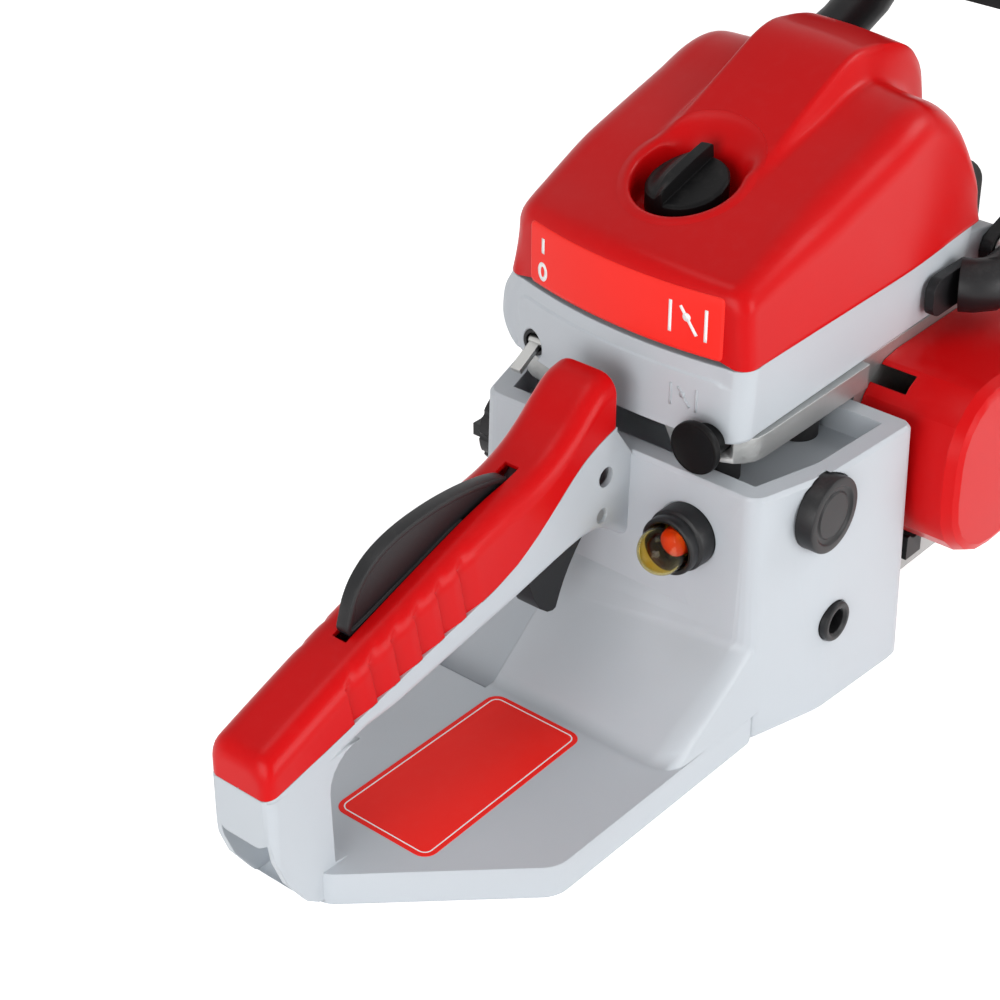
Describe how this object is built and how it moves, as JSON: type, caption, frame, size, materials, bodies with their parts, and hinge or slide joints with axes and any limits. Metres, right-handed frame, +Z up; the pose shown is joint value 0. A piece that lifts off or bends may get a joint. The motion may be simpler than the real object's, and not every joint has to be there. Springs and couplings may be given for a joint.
{
  "type": "petrol chainsaw",
  "caption": "Petrol chainsaw with rear trigger handle, fuel primer, pull starter, clutch, guide bar, saw chain and pivoting hand guard.",
  "frame": {"origin": "on the flat underside of the tank housing, under the tank's rear wall, in the middle plane of the rear handle", "axes": "+X forward along the guide bar, +Y to the starter side, +Z up; the saw stands on the floor at z = 0"},
  "size_m": [0.8494, 0.2533, 0.302],
  "materials": {
    "red_plastic": "glossy moulded",
    "grey_plastic": "satin moulded",
    "black_plastic": "fine grained",
    "clear_bulb": "soft translucent",
    "rubber_black": "matt",
    "cast_aluminium": "as cast",
    "steel": "zinc plated",
    "chain_steel": "oiled",
    "exhaust_steel": "heat-proof paint",
    "filter_felt": "felt",
    "rope_fibre": "braided"
  },
  "bodies": {
    "saw": {"tank_housing": "grey_plastic", "grip_cover": "red_plastic", "lockout_pin": "steel", "trigger_pin": "steel", "grip_screw": "steel", "primer_base": "black_plastic", "primer_valve": "black_plastic", "mount_plugs": "black_plastic", "rubber_mounts": "rubber_black", "crankcase": "cast_aluminium", "intake_housing": "grey_plastic", "top_cover": "red_plastic", "stop_switch": "black_plastic", "carburettor": "cast_aluminium", "air_filter": "filter_felt", "intake_manifold": "rubber_black", "engine_cylinder": "cast_aluminium", "spark_plug": "steel", "plug_boot": "rubber_black", "ignition_coil": "black_plastic", "crank_bearings": "steel", "muffler": "exhaust_steel", "starter_cover": "red_plastic", "clutch_drum": "steel", "rim_sprocket": "steel", "drum_bearing": "steel", "pump_worm": "black_plastic", "clutch_cover": "red_plastic", "bar_studs": "steel", "bar_nuts": "steel", "guide_bar": "steel", "nose_sprocket": "steel", "chain_drive_links": "chain_steel", "chain_straps": "chain_steel", "chain_cutters": "chain_steel", "bumper_spike": "steel", "chain_catcher": "black_plastic", "front_handle": "black_plastic", "guard_pins": "steel", "brake_band": "steel", "handle_screws": "steel"},
    "trigger": {"throttle_trigger": "black_plastic"},
    "lockout": {"throttle_lockout": "black_plastic"},
    "bulb": {"primer_bulb": "clear_bulb"},
    "choke": {"choke_knob": "black_plastic"},
    "toggle": {"switch_toggle": "steel"},
    "knob": {"cover_knob": "black_plastic"},
    "guard": {"hand_guard": "black_plastic"},
    "crank": {"crankshaft": "steel", "flywheel": "cast_aluminium", "clutch_hub": "steel"},
    "pulley": {"starter_pulley": "black_plastic"},
    "pull_grip": {"starter_grip": "black_plastic", "starter_rope": "rope_fibre"},
    "tank_cap": {"fuel_cap": "black_plastic"},
    "chain_oil_cap": {"oil_cap": "black_plastic"},
    "piston_body": {"piston": "cast_aluminium"}
  },
  "joints": [
    {"name": "trigger_hinge", "type": "hinge", "parent": "saw", "child": "trigger", "pos_m": [-0.0184, 0, 0.0955], "axis": [0, 1, 0], "range_deg": [0, 18], "stiffness_Nm_per_rad": 0.6, "springref_deg": -14.32},
    {"name": "lockout_hinge", "type": "hinge", "parent": "saw", "child": "lockout", "pos_m": [-0.066, 0, 0.119], "axis": [0, -1, 0], "range_deg": [0, 10], "stiffness_Nm_per_rad": 0.3, "springref_deg": -14.32},
    {"name": "bulb_press", "type": "slide", "parent": "saw", "child": "bulb", "axis": [1, 0, 0], "range_m": [0, 0.004], "stiffness_N_per_m": 800},
    {"name": "choke_pull", "type": "slide", "parent": "saw", "child": "choke", "axis": [-1, 0, 0], "range_m": [0, 0.012]},
    {"name": "toggle_hinge", "type": "hinge", "parent": "saw", "child": "toggle", "pos_m": [0.01877, 0.0495, 0.1395], "axis": [0, 1, 0], "range_deg": [0, 50]},
    {"name": "cover_knob_turn", "type": "hinge", "parent": "saw", "child": "knob", "pos_m": [0.055, 0.001, 0.203], "axis": [0, 0, 1], "range_deg": [0, 90]},
    {"name": "guard_hinge", "type": "hinge", "parent": "saw", "child": "guard", "pos_m": [0.206, 0, 0.15], "axis": [0, 1, 0], "range_deg": [0, 20]},
    {"name": "crank_spin", "type": "hinge", "parent": "saw", "child": "crank", "pos_m": [0.15, 0, 0.085], "axis": [0, 1, 0], "continuous": true},
    {"name": "grip_pull", "type": "slide", "parent": "saw", "child": "pull_grip", "axis": [0, 0, 1], "range_m": [0, 0.8], "stiffness_N_per_m": 4, "springref_m": -1.5, "deforming": ["starter_rope"]},
    {"name": "pulley_spin", "type": "hinge", "parent": "saw", "child": "pulley", "pos_m": [0.15, 0, 0.085], "axis": [0, -1, 0], "range_deg": [0, 1940]},
    {"name": "fuel_cap_turn", "type": "hinge", "parent": "saw", "child": "tank_cap", "pos_m": [0.046, 0, 0.074], "axis": [0, 1, 0], "range_deg": [0, 90]},
    {"name": "oil_cap_turn", "type": "hinge", "parent": "saw", "child": "chain_oil_cap", "pos_m": [0.2, 0, 0.03], "axis": [0, 1, 0], "range_deg": [0, 90]},
    {"name": "piston_slide", "type": "slide", "parent": "saw", "child": "piston_body", "axis": [0, 0, -1], "range_m": [0, 0.034]}
  ],
  "couplings": [
    {"joint": "pulley_spin", "follows": "grip_pull", "rad_per_m": 42.105}
  ]
}
